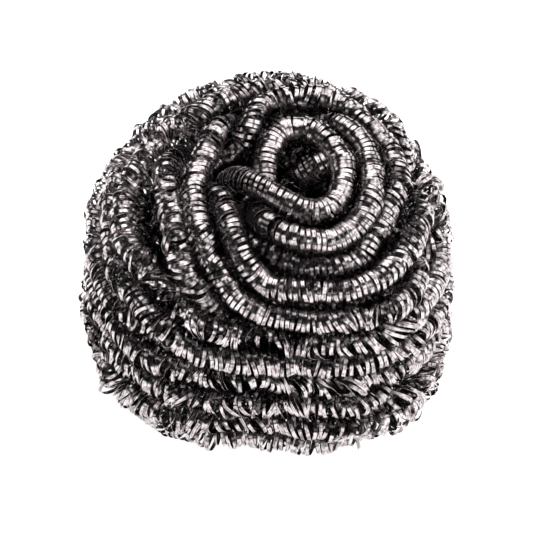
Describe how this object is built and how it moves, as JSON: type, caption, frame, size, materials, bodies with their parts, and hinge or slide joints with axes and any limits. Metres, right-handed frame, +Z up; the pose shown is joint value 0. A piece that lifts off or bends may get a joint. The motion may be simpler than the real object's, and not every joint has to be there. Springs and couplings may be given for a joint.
{
  "type": "spiral metal scourer",
  "caption": "Round scouring pad wound from one long close coil of flat stainless ribbon, with an off-centre eye on top and a flattened underside.",
  "frame": {"origin": "on the surface it stands on, under the middle of its bounding box", "axes": "+Z up through the bun, with the wound rose and its eye on top; -Y towards the side that the picture is taken from"},
  "size_m": [0.0792, 0.0774, 0.0594],
  "materials": {
    "coiled_ribbon_strand": "bright drawn stainless ribbon"
  },
  "bodies": {
    "root": {"coiled_ribbon_strand": "coiled_ribbon_strand"}
  },
  "joints": []
}
